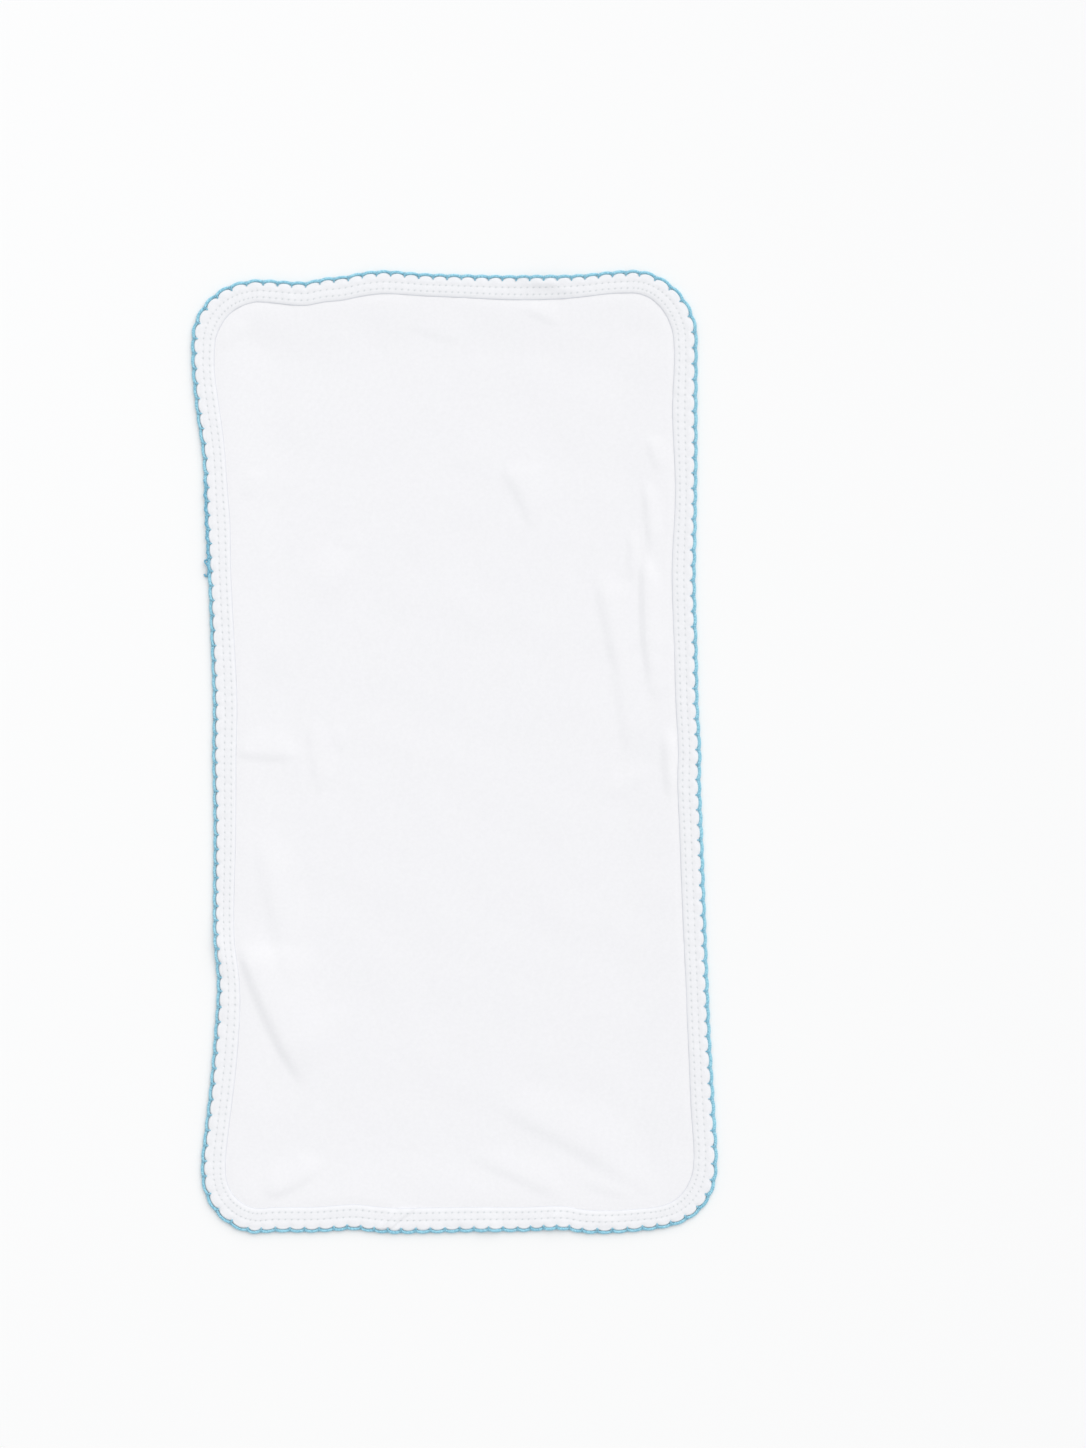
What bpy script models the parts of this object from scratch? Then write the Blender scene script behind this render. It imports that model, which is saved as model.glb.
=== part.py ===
# Burp cloth, lying flat as it was put down: a panel of white cotton jersey, bound all round with
# a folded strip of the same jersey, and edged with light blue thread that draws the binding into
# small scallops.
# Blender 4.5, metres, +Z up. The origin is on the table under the middle of the cloth, with +Y
# along its length. Sizes below are in millimetres.

import math
from collections import namedtuple

import bmesh
import bpy
from mathutils import Vector
from mathutils.geometry import delaunay_2d_cdt

MM = 0.001

# The flat cut, measured to the outer side of the blue edging
CUT_WIDTH = 250.0
CUT_LENGTH = 480.0
CORNER_RADIUS = 32.0

# Blue edging thread, and the gap that keeps it clear of the binding's fold
THREAD_RADIUS = 1.05
THREAD_HEIGHT = 1.5
THREAD_GAP = 0.4

# Binding: the height of the fold, and the thickness of each of its leaves
BINDING_HEIGHT = 3.0
LEAF = 0.7
FOLD_ROUND = 0.9
POCKET_DEPTH = 5.6
CUSP_SINK = 0.6

# Panel of jersey: its thickness, where its edge lies in the binding's pocket, and how far from the
# binding it has come down to the table
PANEL_THICKNESS = 1.0
PANEL_EDGE = 6.0
PANEL_RISE = 1.0
PANEL_DOWN = 24.0
PANEL_RINGS = (PANEL_EDGE, 13.6, 17.0, 20.5, PANEL_DOWN)

# Spacing of the modelled sections
STATIONS_PER_SCALLOP = 3
STRAIGHT_STATIONS = 132
FOLD_STEP = 12.0
GRID_STEP = 22.0

# Towards the window that lights the cloth: each fold is gentle on this side and steep on the other
LIGHT_SIDE = Vector((0.35, 0.94))

# Scallops, clockwise from the left end of the top side: where each run starts along the edge of
# the flat cut, how many scallops it has, how far in they dip, and how full the thread is
ScallopRun = namedtuple("ScallopRun", "name start count dip fullness")
SCALLOP_RUNS = (
    ScallopRun("top, left part", 3.0, 14, 1.3, 1.0),
    ScallopRun("top, right part", 101.0, 13, 1.3, 1.0),
    ScallopRun("top right corner", 189.5, 5, 0.8, 1.0),
    ScallopRun("right, upper end", 234.0, 6, 0.7, 1.0),
    ScallopRun("right, upper half", 281.5, 20, 0.7, 1.0),
    ScallopRun("right, lower half", 435.0, 21, 0.7, 1.0),
    ScallopRun("right, lower end", 593.5, 6, 0.7, 1.0),
    ScallopRun("lower right corner", 641.0, 6, 0.8, 1.0),
    ScallopRun("bottom, right end", 692.5, 6, 1.3, 1.0),
    ScallopRun("bottom, drawn in", 736.0, 5, 1.3, 1.0),
    ScallopRun("bottom, middle", 767.0, 8, 1.3, 1.0),
    ScallopRun("bottom, left part", 823.0, 5, 1.3, 1.0),
    ScallopRun("bottom, left end", 855.5, 6, 1.3, 1.0),
    ScallopRun("lower left corner", 897.5, 4, 0.8, 1.0),
    ScallopRun("left, lower end", 936.5, 12, 0.7, 1.0),
    ScallopRun("left, drawn in", 1029.0, 9, 0.7, 1.0),
    ScallopRun("left, lower middle", 1093.0, 12, 0.7, 1.0),
    ScallopRun("left, upper middle", 1179.5, 7, 0.7, 1.0),
    ScallopRun("left, thread sewn twice", 1232.0, 8, 0.7, 1.25),
    ScallopRun("left, upper end", 1288.0, 9, 0.7, 1.0),
    ScallopRun("top left corner", 1355.5, 6, 0.8, 1.0),
)

# How far the long sides have wandered to the right, down the length of the cut
SideWander = namedtuple("SideWander", "along left right")
SIDE_WANDER = (
    SideWander(-240, -3.0, 7.0),
    SideWander(-214, -1.8, 6.5),
    SideWander(-201, -1.6, 6.8),
    SideWander(-189, -0.2, 6.2),
    SideWander(-164, 2.7, 4.7),
    SideWander(-139, 4.8, 3.2),
    SideWander(-114, 6.2, 2.2),
    SideWander(-89, 4.4, 1.2),
    SideWander(-39, 4.5, -0.6),
    SideWander(-14, 4.2, -1.6),
    SideWander(0, 3.9, -1.4),
    SideWander(24, 4.2, -2.7),
    SideWander(49, 3.4, -3.2),
    SideWander(86, 1.9, -4.2),
    SideWander(99, 1.2, -4.0),
    SideWander(124, -0.1, -3.6),
    SideWander(149, -1.0, -3.3),
    SideWander(174, -4.5, -3.3),
    SideWander(199, -6.6, -3.2),
    SideWander(240, -5.6, -3.5),
)

# How far the short sides have wandered upwards, across the width of the cut
EndWander = namedtuple("EndWander", "along bottom top")
END_WANDER = (
    EndWander(-125, -1.5, -1.7),
    EndWander(-100, -1.1, -3.4),
    EndWander(-90, 0.0, -3.4),
    EndWander(-70, 0.0, -4.5),
    EndWander(-60, 0.6, -2.6),
    EndWander(-50, 1.2, -1.6),
    EndWander(-40, 0.0, 0.4),
    EndWander(-30, -0.7, 1.2),
    EndWander(-10, -0.3, -0.3),
    EndWander(10, 0.2, -0.9),
    EndWander(30, 0.3, -1.3),
    EndWander(50, 1.2, -1.3),
    EndWander(60, -0.4, -1.2),
    EndWander(70, -0.7, -0.6),
    EndWander(80, -0.1, 0.5),
    EndWander(90, 0.9, 1.2),
    EndWander(100, 1.6, 1.3),
    EndWander(125, -0.3, -0.3),
)

# How far in the binding reaches, clockwise along the edge of the cut
BindingReach = namedtuple("BindingReach", "along reach")
BINDING_REACH = (
    BindingReach(0, 11.7),
    BindingReach(36, 12.6),
    BindingReach(84, 11.7),
    BindingReach(136, 12.7),
    BindingReach(172, 11.5),
    BindingReach(222, 13.2),
    BindingReach(246, 11.8),
    BindingReach(276, 12.8),
    BindingReach(316, 11.3),
    BindingReach(350, 12.4),
    BindingReach(436, 12.0),
    BindingReach(470, 12.3),
    BindingReach(590, 11.8),
    BindingReach(620, 12.2),
    BindingReach(644, 11.8),
    BindingReach(668, 12.3),
    BindingReach(696, 11.4),
    BindingReach(750, 12.4),
    BindingReach(804, 13.0),
    BindingReach(836, 13.2),
    BindingReach(884, 12.9),
    BindingReach(956, 12.0),
    BindingReach(1012, 12.6),
    BindingReach(1056, 10.8),
    BindingReach(1108, 11.6),
    BindingReach(1172, 12.7),
    BindingReach(1236, 12.1),
    BindingReach(1264, 13.0),
    BindingReach(1292, 11.8),
    BindingReach(1316, 12.3),
    BindingReach(1344, 11.5),
    BindingReach(1370, 13.0),
    BindingReach(1406, 11.7),
)

# Folds as the cloth lies: from (x1, y1) to (x2, y2), how far the crest bows towards the light in
# the middle, the widths of its steep and its gentle flank, and its height
Fold = namedtuple("Fold", "name x1 y1 x2 y2 bow steep gentle height")
FOLDS = (
    Fold("long fold, lower left", -109, -92, -76, -172, 1.0, 5.5, 12, 1.5),
    Fold("left side, above it", -105, -40, -95, -99, 0.0, 5, 9, 0.5),
    Fold("storage fold, left", -110, 0, -76, -1, 0.0, 6, 7, 0.6),
    Fold("storage fold, right", 104, 14, 107, -22, 0.0, 5, 8, 0.7),
    Fold("left, by the middle", -72, 20, -66, -24, 0.0, 5, 8, 0.4),
    Fold("left, slanting", -60, 91, -93, 48, 2.0, 6, 9, 0.5),
    Fold("middle, slanting", 23, 146, 41, 110, 2.0, 6, 9, 0.5),
    Fold("right, inner", 69, 92, 88, -6, 3.0, 7, 10, 0.8),
    Fold("right, upper", 92, 140, 98, 101, 1.0, 3.5, 6, 0.6),
    Fold("right, middle", 93, 92, 98, 36, 1.0, 4, 6, 0.9),
    Fold("right, lower", 99, 36, 93, 12, 0.0, 4, 6, 0.5),
    Fold("lower right, wide", 29, -182, 104, -226, 3.0, 9, 14, 0.6),
    Fold("lower left corner", -97, -222, -64, -203, -2.0, 6, 9, 0.7),
)

# Where the outer edge of the binding curls up off the table
Curl = namedtuple("Curl", "name middle reach rise")
CURLS = (
    Curl("top", 144, 24, 1.5),
    Curl("left", 1053, 20, 1.0),
    Curl("bottom, middle", 781, 9, 0.8),
    Curl("bottom, right", 749, 10, 0.8),
)
CURL_FADE = 14.0

# The binding's end lapped over its start, at the bottom
LAP_MIDDLE = 816.0
LAP_REACH = 9.0
LAP_RISE = 0.5

HALF_X = CUT_WIDTH / 2 - CORNER_RADIUS
HALF_Y = CUT_LENGTH / 2 - CORNER_RADIUS
CORNER_ARC = CORNER_RADIUS * math.pi / 2
EDGE_LENGTH = 4 * (HALF_X + HALF_Y + CORNER_ARC)


def ease(share):
    """Smooth step from 0 to 1."""
    share = min(max(share, 0.0), 1.0)
    return share * share * (3 - 2 * share)


def read_table(table, along, column):
    """A column's value at a place along it, on a smooth curve through the table's rows."""
    along = min(max(along, table[0].along), table[-1].along)
    low = max(i for i in range(len(table) - 1) if table[i].along <= along)
    rows = [table[max(low - 1, 0)], table[low], table[low + 1], table[min(low + 2, len(table) - 1)]]
    before, start, end, after = (getattr(row, column) for row in rows)
    span = rows[2].along - rows[1].along
    leave = (end - before) / (rows[2].along - rows[0].along) * span
    arrive = (after - start) / (rows[3].along - rows[1].along) * span
    t = (along - rows[1].along) / span
    return (
        start * (2 * t**3 - 3 * t**2 + 1)
        + leave * (t**3 - 2 * t**2 + t)
        + end * (3 * t**2 - 2 * t**3)
        + arrive * (t**3 - t**2)
    )


def wander(x, y):
    """How far a point of the flat cut has moved within the table's plane."""
    across = min(max(x / CUT_WIDTH + 0.5, 0.0), 1.0)
    up = min(max(y / CUT_LENGTH + 0.5, 0.0), 1.0)
    left = read_table(SIDE_WANDER, y, "left")
    right = read_table(SIDE_WANDER, y, "right")
    bottom = read_table(END_WANDER, x, "bottom")
    top = read_table(END_WANDER, x, "top")
    return left + (right - left) * across, bottom + (top - bottom) * up


def laid(x, y):
    """A point of the flat cut, where it lies on the table."""
    dx, dy = wander(x, y)
    return x + dx, y + dy


def unlaid(x, y):
    """The point of the flat cut that lies at this place on the table."""
    flat_x, flat_y = x, y
    for _ in range(4):
        dx, dy = wander(flat_x, flat_y)
        flat_x, flat_y = x - dx, y - dy
    return flat_x, flat_y


def edge_point(along, inward):
    """Point of the flat cut, so far clockwise along its edge and so far in from it."""
    corners = ((-HALF_X, HALF_Y), (HALF_X, HALF_Y), (HALF_X, -HALF_Y), (-HALF_X, -HALF_Y))
    radius = CORNER_RADIUS - inward
    rest = along % EDGE_LENGTH
    for side in range(4):
        straight = 2 * (HALF_Y if side % 2 else HALF_X)
        facing = math.pi / 2 * (1 - side)
        if rest <= straight:
            x, y = corners[side]
            return (
                x + radius * math.cos(facing) + rest * math.sin(facing),
                y + radius * math.sin(facing) - rest * math.cos(facing),
            )
        rest -= straight
        if rest <= CORNER_ARC:
            x, y = corners[(side + 1) % 4]
            facing -= rest / CORNER_RADIUS
            return x + radius * math.cos(facing), y + radius * math.sin(facing)
        rest -= CORNER_ARC
    return edge_point(0.0, inward)


def inward_of(x, y):
    """How far in from the edge a point of the flat cut lies."""
    beyond_x = abs(x) - HALF_X
    beyond_y = abs(y) - HALF_Y
    outside = math.hypot(max(beyond_x, 0.0), max(beyond_y, 0.0))
    return CORNER_RADIUS - outside - min(max(beyond_x, beyond_y), 0.0)


def bump(along, middle, reach):
    """1 at the middle of a stretch of the edge, easing to 0 at its ends."""
    away = abs((along - middle + EDGE_LENGTH / 2) % EDGE_LENGTH - EDGE_LENGTH / 2)
    return ease(1 - away / reach)


def curl(along, inward):
    """How far the edge has curled up off the table."""
    fade = max(1 - inward / CURL_FADE, 0.0) ** 2
    return fade * sum(c.rise * bump(along, c.middle, c.reach) for c in CURLS)


def fold_frame(fold):
    """Start, direction, length and lit side of a fold's crest."""
    start = Vector((fold.x1, fold.y1))
    run = Vector((fold.x2, fold.y2)) - start
    lit = Vector((-run.y, run.x)).normalized()
    if lit.dot(LIGHT_SIDE) < 0:
        lit.negate()
    return start, run.normalized(), run.length, lit


def fold_height(fold, x, y):
    """Height of one fold over a point of the table."""
    start, run, length, lit = fold_frame(fold)
    from_start = Vector((x, y)) - start
    share = from_start.dot(run) / length
    if not 0 < share < 1:
        return 0.0
    off_crest = from_start.dot(lit) - fold.bow * math.sin(math.pi * share)
    flank = fold.gentle if off_crest > 0 else fold.steep
    ends = ease(min(share, 1 - share) * 3)
    return fold.height * ends * ease(1 - abs(off_crest) / flank)


def panel_height(x, y):
    """Height of the panel's underside over a point of the table, inside the binding."""
    inward = inward_of(*unlaid(x, y))
    down = ease((inward - PANEL_RINGS[1]) / (PANEL_DOWN - PANEL_RINGS[1]))
    folds = sum(fold_height(fold, x, y) for fold in FOLDS)
    return PANEL_RISE * (1 - down) + folds * ease((inward - PANEL_RINGS[1]) / 5)


def scallop_stations():
    """Places along the edge: along, how far the scallop dips there, and the thread's fullness."""
    stations = []
    for number, run in enumerate(SCALLOP_RUNS):
        following = SCALLOP_RUNS[(number + 1) % len(SCALLOP_RUNS)].start
        length = (following - run.start) % EDGE_LENGTH
        steps = run.count * STATIONS_PER_SCALLOP
        for step in range(steps):
            across = 2 * (step % STATIONS_PER_SCALLOP) / STATIONS_PER_SCALLOP - 1
            stations.append((run.start + length * step / steps, run.dip * across**2, run.fullness))
    return stations


def placed(along, inward, height):
    """A point by the edge of the cloth, in metres, as it lies."""
    x, y = laid(*edge_point(along, inward))
    return Vector((x, y, height + curl(along, inward))) * MM


def straight_ring(inward, height):
    """Evenly spaced points round the cloth: pairs of the place along the edge and the point.
    Without a distance inwards, the ring follows the binding's inner edge."""
    ring = []
    for step in range(STRAIGHT_STATIONS):
        along = EDGE_LENGTH * step / STRAIGHT_STATIONS
        reach = read_table(BINDING_REACH, along, "reach") if inward is None else inward
        ring.append((along, placed(along, reach, height)))
    return ring


def scalloped_ring(inward, height, sink=0.0):
    """Points round the cloth that follow the scallops, sunk where the thread draws them in."""
    ring = []
    for along, dip, _ in scallop_stations():
        drawn = dip / max(run.dip for run in SCALLOP_RUNS)
        ring.append((along, placed(along, inward + dip, height - sink * drawn)))
    return ring


def bridge_rings(mesh, ring_a, ring_b):
    """Triangles between two rings of vertices that run the same way round."""
    count_a, count_b = len(ring_a), len(ring_b)
    a = b = 0
    while a < count_a or b < count_b:
        next_a = ring_a[a + 1][0] if a + 1 < count_a else ring_a[0][0] + EDGE_LENGTH
        next_b = ring_b[b + 1][0] if b + 1 < count_b else ring_b[0][0] + EDGE_LENGTH
        corners = [ring_a[a % count_a][1], ring_b[b % count_b][1]]
        if b == count_b or (a < count_a and next_a <= next_b):
            a += 1
            corners.append(ring_a[a % count_a][1])
        else:
            b += 1
            corners.append(ring_b[b % count_b][1])
        mesh.faces.new(corners)


def new_material(name, colour, roughness):
    material = bpy.data.materials.new(name)
    material.use_nodes = True
    shader = material.node_tree.nodes["Principled BSDF"]
    shader.inputs["Base Color"].default_value = (*colour, 1.0)
    shader.inputs["Roughness"].default_value = roughness
    shader.inputs["Metallic"].default_value = 0.0
    return material


def add_object(name, data, material, collection):
    """Object of this data in the cloth's collection."""
    thing = bpy.data.objects.new(name, data)
    data.materials.append(material)
    collection.objects.link(thing)
    return thing


def mesh_of(name, mesh):
    data = bpy.data.meshes.new(name)
    mesh.to_mesh(data)
    mesh.free()
    return data


def fold_lines():
    """Crest and feet of every fold, as lines of points on the table that stay off the binding."""
    lines = []
    for fold in FOLDS:
        start, run, length, lit = fold_frame(fold)
        steps = max(round(length / FOLD_STEP), 3)
        for side in (-fold.steep, 0.0, fold.gentle):
            line = []
            for step in range(steps + 1):
                bow = fold.bow * math.sin(math.pi * step / steps)
                point = start + run * (length * step / steps) + lit * (side + bow)
                if inward_of(*unlaid(*point)) > PANEL_RINGS[1] + 1:
                    line.append(point)
            lines.append(line)
    return lines


def grid_points():
    """Points over the middle of the panel, as it lies."""
    columns = int((CUT_WIDTH / 2 - PANEL_DOWN) / GRID_STEP)
    rows = int((CUT_LENGTH / 2 - PANEL_DOWN) / GRID_STEP)
    points = []
    for column in range(-columns, columns + 1):
        for row in range(-rows, rows + 1):
            x, y = column * GRID_STEP, row * GRID_STEP
            if inward_of(x, y) > PANEL_DOWN + GRID_STEP / 3:
                points.append(Vector(laid(x, y)))
    return points


def add_panel(collection, jersey):
    """The jersey panel: its underside with the folds, thickened upwards."""
    points = []
    edges = []
    pocket_heights = []
    for inward in PANEL_RINGS:
        first = len(points)
        for _, point in straight_ring(inward, PANEL_RISE):
            points.append(Vector((point.x, point.y)) / MM)
            if inward in PANEL_RINGS[:2]:
                pocket_heights.append(point.z / MM)
        last = len(points) - 1
        edges += [(i, i + 1) for i in range(first, last)] + [(last, first)]
    for line in fold_lines():
        edges += [(i, i + 1) for i in range(len(points), len(points) + len(line) - 1)]
        points += line
    points += grid_points()

    places, _, faces, origins, _, _ = delaunay_2d_cdt(points, edges, [], 1, 0.01)
    mesh = bmesh.new()
    vertices = []
    for place, origin in zip(places, origins):
        in_pocket = bool(origin) and origin[0] < len(pocket_heights)
        height = pocket_heights[origin[0]] if in_pocket else panel_height(*place)
        vertices.append(mesh.verts.new(Vector((*place, height)) * MM))
    for face in faces:
        mesh.faces.new([vertices[i] for i in face])
    panel = add_object("panel", mesh_of("panel", mesh), jersey, collection)
    cloth = panel.modifiers.new("Thickness", "SOLIDIFY")
    cloth.thickness = PANEL_THICKNESS * MM
    cloth.offset = 1.0


def raise_lap(rings):
    """The binding's end, lapped over its start."""
    for ring in rings:
        for along, point in ring:
            point.z += LAP_RISE * MM * bump(along, LAP_MIDDLE, LAP_REACH)


def add_binding(collection, jersey):
    """The folded strip: a U section lofted round the cloth, scalloped along its fold."""
    outer = 2 * THREAD_RADIUS + THREAD_GAP
    top = BINDING_HEIGHT
    under_leaf = [
        straight_ring(None, LEAF),
        straight_ring(None, 0.0),
        scalloped_ring(outer + FOLD_ROUND, 0.0),
        scalloped_ring(outer, top / 2),
    ]
    upper_leaf = [
        scalloped_ring(outer + FOLD_ROUND, top, CUSP_SINK),
        straight_ring(None, top),
    ]
    raise_lap(upper_leaf)
    pocket = [
        straight_ring(None, top - LEAF),
        straight_ring(POCKET_DEPTH, top - LEAF),
        straight_ring(POCKET_DEPTH, LEAF),
    ]
    mesh = bmesh.new()
    loops = []
    for ring in under_leaf + upper_leaf + pocket:
        loop = [(along % EDGE_LENGTH, mesh.verts.new(point)) for along, point in ring]
        loops.append(sorted(loop, key=lambda station: station[0]))
    for loop, following in zip(loops, loops[1:] + loops[:1]):
        bridge_rings(mesh, loop, following)
    bmesh.ops.recalc_face_normals(mesh, faces=mesh.faces)
    add_object("binding", mesh_of("binding", mesh), jersey, collection)


def add_edging(collection, blue):
    """The blue thread, along the binding's fold in scallops."""
    stations = scallop_stations()
    curve = bpy.data.curves.new("edging", "CURVE")
    curve.dimensions = "3D"
    curve.twist_mode = "Z_UP"
    curve.bevel_depth = THREAD_RADIUS * MM
    curve.bevel_resolution = 0
    curve.render_resolution_u = 0
    spline = curve.splines.new("POLY")
    spline.points.add(len(stations) - 1)
    spline.use_cyclic_u = True
    for point, (along, dip, fullness) in zip(spline.points, stations):
        inward = THREAD_RADIUS * (2 - fullness) + dip
        point.co = (*placed(along, inward, THREAD_HEIGHT), 1.0)
        point.radius = fullness
    add_object("edging", curve, blue, collection)


for old in list(bpy.data.objects):
    bpy.data.objects.remove(old)

cloth_parts = bpy.data.collections.new("Burp cloth")
bpy.context.scene.collection.children.link(cloth_parts)
add_panel(cloth_parts, new_material("White jersey", (0.90, 0.90, 0.92), 0.9))
add_binding(cloth_parts, new_material("White binding", (0.91, 0.91, 0.93), 0.9))
add_edging(cloth_parts, new_material("Light blue thread", (0.33, 0.58, 0.72), 0.85))
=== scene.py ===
# Burp cloth, lying flat as it was put down: a panel of white cotton jersey, a folded jersey binding
# with two rows of stitching, and a light blue thread edging that draws the binding into scallops.
# Sizes are in millimetres. "Along" runs clockwise round the edge of the flat cut from the left end of
# its top side, and "inward" is the distance in from that edge.

import math
from collections import namedtuple

import bmesh
import bpy
import numpy as np
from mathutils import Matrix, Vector


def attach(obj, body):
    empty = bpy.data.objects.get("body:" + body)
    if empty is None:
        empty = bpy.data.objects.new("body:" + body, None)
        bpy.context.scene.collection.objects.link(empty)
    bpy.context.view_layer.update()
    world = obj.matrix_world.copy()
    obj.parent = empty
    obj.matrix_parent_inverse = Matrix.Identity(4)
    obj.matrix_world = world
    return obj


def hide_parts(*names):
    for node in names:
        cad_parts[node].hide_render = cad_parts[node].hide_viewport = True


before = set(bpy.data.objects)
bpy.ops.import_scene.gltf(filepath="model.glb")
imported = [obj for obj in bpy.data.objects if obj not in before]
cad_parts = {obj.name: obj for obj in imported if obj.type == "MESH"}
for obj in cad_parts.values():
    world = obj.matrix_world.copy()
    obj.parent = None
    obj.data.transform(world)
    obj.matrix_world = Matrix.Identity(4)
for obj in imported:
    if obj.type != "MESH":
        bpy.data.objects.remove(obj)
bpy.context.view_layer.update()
bpy.ops.object.select_all(action="DESELECT")

# The panel: one layer of white cotton jersey, cut as a rounded rectangle with its edge sewn into the
# binding. It was put down by hand, so it lies a little askew, comes down from the binding to the
# table, and keeps the soft folds in which it was stored.
MM = 0.001
CUT_WIDTH = 250.0
CUT_LENGTH = 480.0
CORNER_RADIUS = 32.0
HALF_X = CUT_WIDTH / 2 - CORNER_RADIUS
HALF_Y = CUT_LENGTH / 2 - CORNER_RADIUS
CORNER_ARC = CORNER_RADIUS * math.pi / 2
EDGE_LENGTH = 4 * (HALF_X + HALF_Y + CORNER_ARC)

PANEL_GRID = 1.6
PANEL_EDGE = 6.4
PANEL_RISE = 0.62
PANEL_THICKNESS = 0.5
BINDING_INSIDE = 13.6
FREE_CLOTH = 2.6
PANEL_DOWN = 42.0
LIGHT_SIDE = (0.5, 0.87)
WALE = 0.55
COURSE = 0.42
JERSEY_WHITE = (0.905, 0.903, 0.926)

# How far the long sides have wandered to the right, down the length of the cut
SideWander = namedtuple("SideWander", "along left right")
SIDE_WANDER = (
    SideWander(-240, -3.0, 7.0),
    SideWander(-214, -1.8, 6.5),
    SideWander(-201, -1.6, 6.8),
    SideWander(-189, -0.2, 6.2),
    SideWander(-164, 2.7, 4.7),
    SideWander(-139, 4.8, 3.2),
    SideWander(-114, 6.2, 2.2),
    SideWander(-89, 4.4, 1.2),
    SideWander(-39, 4.5, -0.6),
    SideWander(-14, 4.2, -1.6),
    SideWander(0, 3.9, -1.4),
    SideWander(24, 4.2, -2.7),
    SideWander(49, 3.4, -3.2),
    SideWander(86, 1.9, -4.2),
    SideWander(99, 1.2, -4.0),
    SideWander(124, -0.1, -3.6),
    SideWander(149, -1.0, -3.3),
    SideWander(174, -4.5, -3.3),
    SideWander(199, -6.6, -3.2),
    SideWander(240, -5.6, -3.5),
)

# How far the short sides have wandered upwards, across the width of the cut
EndWander = namedtuple("EndWander", "along bottom top")
END_WANDER = (
    EndWander(-125, -1.5, -1.7),
    EndWander(-100, -1.1, -3.4),
    EndWander(-90, 0.0, -3.4),
    EndWander(-70, 0.0, -4.5),
    EndWander(-60, 0.6, -2.6),
    EndWander(-50, 1.2, -1.6),
    EndWander(-40, 0.0, 0.4),
    EndWander(-30, -0.7, 1.2),
    EndWander(-10, -0.3, -0.3),
    EndWander(10, 0.2, -0.9),
    EndWander(30, 0.3, -1.3),
    EndWander(50, 1.2, -1.3),
    EndWander(60, -0.4, -1.2),
    EndWander(70, -0.7, -0.6),
    EndWander(80, -0.1, 0.5),
    EndWander(90, 0.9, 1.2),
    EndWander(100, 1.6, 1.3),
    EndWander(125, -0.3, -0.3),
)

# Folds as the cloth lies: from (x1, y1) to (x2, y2), how far the crest bows towards the light in
# the middle, the widths of its steep and its gentle flank, its height, and how quickly its first end
# rises, where 12 is a fold that runs out from under the binding
Fold = namedtuple("Fold", "name x1 y1 x2 y2 bow steep gentle height onset")
FOLDS = (
    Fold("long fold, lower left", -107.5, -94, -72, -170, -1.4, 6.0, 40, 1.5, 5),
    Fold("left side, above it", -98, -34, -78, -126, 0.0, 8.0, 20, 0.6, 3),
    Fold("storage fold, left", -110, 0, -76, -1, 0.0, 4.5, 16, 0.55, 6),
    Fold("storage fold, right", 106, 15, 108, -24, 0.0, 4.0, 10, 0.9, 3),
    Fold("left, by the middle", -72, 20, -66, -24, 0.0, 5.0, 14, 0.45, 3),
    Fold("left, slanting", -40, 112, -97, 18, 6.0, 8.0, 20, 0.65, 3),
    Fold("middle, slanting", 23, 146, 41, 110, 2.0, 5.0, 18, 0.6, 3),
    Fold("right, inner upper", 71, 94, 83, 36, 1.0, 5.6, 18, 0.8, 3),
    Fold("right, inner lower", 80, 60, 88, -8, 1.0, 5.6, 16, 0.5, 3),
    Fold("right, upper", 94.5, 139, 98.5, 98, 0.5, 2.2, 8, 0.7, 3),
    Fold("right, middle", 95.5, 101, 98, 34, -1.5, 2.8, 12, 1.0, 5),
    Fold("right, lower", 97, 52, 101, 24, 0.0, 4.4, 12, 0.45, 3),
    Fold("right, between", 87.5, 114, 89, 84, 0.0, 2.0, 6, 0.4, 3),
    Fold("lower right, wide", 17, -173, 106, -223, 3.0, 9.0, 26, 0.7, 3),
    Fold("lower right, beside it", 6, -200, 58, -223, 1.0, 6.0, 14, 0.5, 3),
    Fold("lower left corner", -97, -222, -64, -203, -2.0, 5.0, 16, 0.7, 4),
    Fold("faint, upper left", -61, 105, -44, 105, 0.0, 4, 12, 0.22, 3),
    Fold("faint, left of middle", -60, 16, -57, -1, 0.0, 2.5, 8, 0.25, 3),
    Fold("faint, upper right", 95.5, 160, 103.5, 139, 0.0, 3, 9, 0.45, 3),
    Fold("faint, top right", 33, 223, 54, 214, 0.0, 3, 10, 0.35, 3),
    Fold("faint, top middle", -27, 215, 8, 205, 0.0, 4, 16, 0.2, 3),
    Fold("faint, top left", -118, 201, -102, 215, 0.0, 4, 10, 0.3, 3),
    Fold("faint, left side", -106, 126, -99, 143, 0.0, 4, 10, 0.3, 3),
    Fold("faint, bottom right", 62, -213, 92, -222, 0.0, 5, 14, 0.35, 3),
    Fold("faint, right of middle", 73, -25, 101, -8, 0.0, 4, 12, 0.25, 3),
)

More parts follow.
